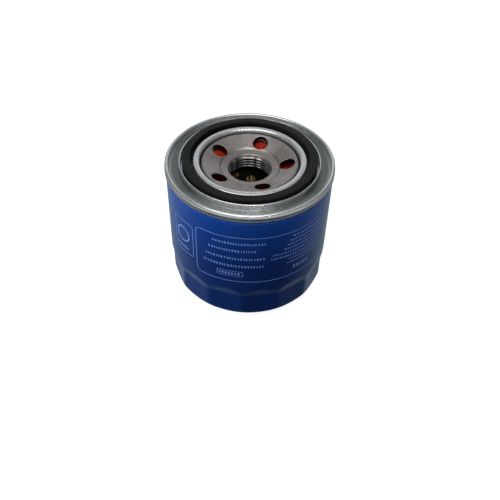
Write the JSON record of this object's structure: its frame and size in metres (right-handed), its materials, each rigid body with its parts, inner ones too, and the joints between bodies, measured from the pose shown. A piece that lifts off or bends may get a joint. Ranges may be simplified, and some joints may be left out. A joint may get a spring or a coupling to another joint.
{
  "type": "spin-on oil filter",
  "caption": "Spin-on engine oil filter: drawn steel can with wrench flats, rolled seam, gasket, threaded tapping plate with inlet holes, pleated element and sprung valves inside.",
  "frame": {"origin": "centre of the closed base, on the filter's axis", "axes": "+Z along the filter's axis, from the closed base to the threaded end; -Y towards the viewer's side, +X to its right"},
  "size_m": [0.08, 0.08, 0.071],
  "materials": {
    "blue_paint": "gloss enamel on drawn steel",
    "compound": "cured sealing compound",
    "bright_zinc": "bright zinc-plated steel sheet, satin rolled seam",
    "weld_steel": "spot welds with a heat tint",
    "plate_steel": "satin pressed steel with oil film",
    "gasket_rubber": "smooth black nitrile rubber",
    "silicone": "orange-red silicone rubber",
    "cap_tinplate": "tinplate",
    "adhesive": "cured plastisol",
    "filter_paper": "resin-treated cellulose filter paper",
    "tube_steel": "dark oiled steel",
    "valve_rubber": "black rubber facing",
    "spring_steel": "phosphated spring steel"
  },
  "bodies": {
    "filter": {"can": "blue_paint", "seam_compound": "compound", "seaming_lid": "bright_zinc", "lid_welds": "weld_steel", "tapping_plate": "plate_steel", "base_gasket": "gasket_rubber", "upper_end_cap": "cap_tinplate", "upper_adhesive": "adhesive", "pleated_media": "filter_paper", "media_seam_clip": "cap_tinplate", "center_tube": "tube_steel", "lower_adhesive": "adhesive", "lower_end_cap": "cap_tinplate", "bypass_housing": "cap_tinplate", "bypass_cage": "cap_tinplate", "support_spring": "spring_steel"},
    "bypass_valve": {"bypass_disc": "cap_tinplate", "bypass_seal": "valve_rubber", "bypass_spring": "spring_steel"},
    "drainback_lip": {"anti_drainback_valve": "silicone"}
  },
  "joints": [
    {"name": "bypass_open", "type": "slide", "parent": "filter", "child": "bypass_valve", "axis": [0, 0, 1], "range_m": [0, 0.0025], "stiffness_N_per_m": 1500, "springref_m": -0.006, "deforming": ["bypass_spring"]},
    {"name": "drainback_open", "type": "slide", "parent": "filter", "child": "drainback_lip", "axis": [0, 0, -1], "range_m": [0, 0.0012], "stiffness_N_per_m": 600, "springref_m": -0.001, "deforming": ["anti_drainback_valve"]}
  ]
}
